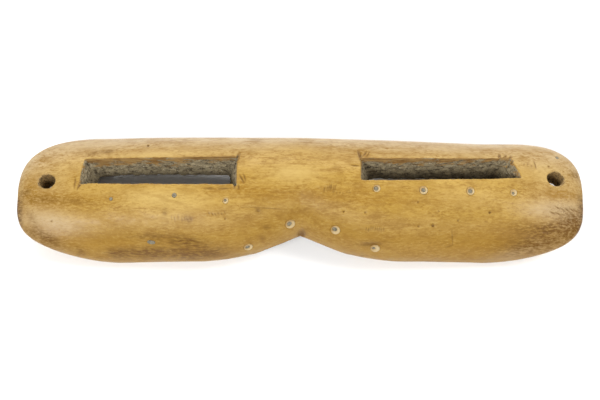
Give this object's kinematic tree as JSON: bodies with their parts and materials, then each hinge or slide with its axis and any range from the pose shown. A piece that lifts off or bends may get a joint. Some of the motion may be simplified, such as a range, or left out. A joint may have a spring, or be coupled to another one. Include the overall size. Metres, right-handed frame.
{
  "type": "snow goggles",
  "caption": "Carved wooden snow goggles with eye slots, a nose notch, strap holes near the ends and small round inlays of pale rings and grey pegs.",
  "frame": {"origin": "bottom centre of the bounding box, with the goggles lying on their back on a table", "axes": "+X along the length, towards the wearer's left; +Y towards the brow edge, with the nose notch at -Y; +Z out of the front"},
  "size_m": [0.132, 0.0306, 0.0185],
  "materials": {
    "wood": "worn smooth, honey brown with dark handling stains",
    "bead_cream": "satin, pale cream",
    "peg_grey": "dull grey"
  },
  "bodies": {
    "root": {"body": "wood", "bead_nose_1": "bead_cream", "core_nose_1": "peg_grey", "bead_nose_2": "bead_cream", "core_nose_2": "peg_grey", "bead_nose_3": "bead_cream", "core_nose_3": "peg_grey", "bead_nose_4": "bead_cream", "core_nose_4": "peg_grey", "bead_slot_right_1": "bead_cream", "core_slot_right_1": "peg_grey", "bead_slot_right_2": "bead_cream", "core_slot_right_2": "peg_grey", "bead_slot_right_3": "bead_cream", "core_slot_right_3": "peg_grey", "bead_slot_right_4": "bead_cream", "core_slot_right_4": "peg_grey", "bead_slot_left_1": "bead_cream", "core_slot_left_1": "peg_grey", "peg_slot_left_2": "peg_grey", "peg_slot_left_3": "peg_grey", "peg_cheek_left": "peg_grey", "peg_temple_right": "peg_grey"}
  },
  "joints": []
}
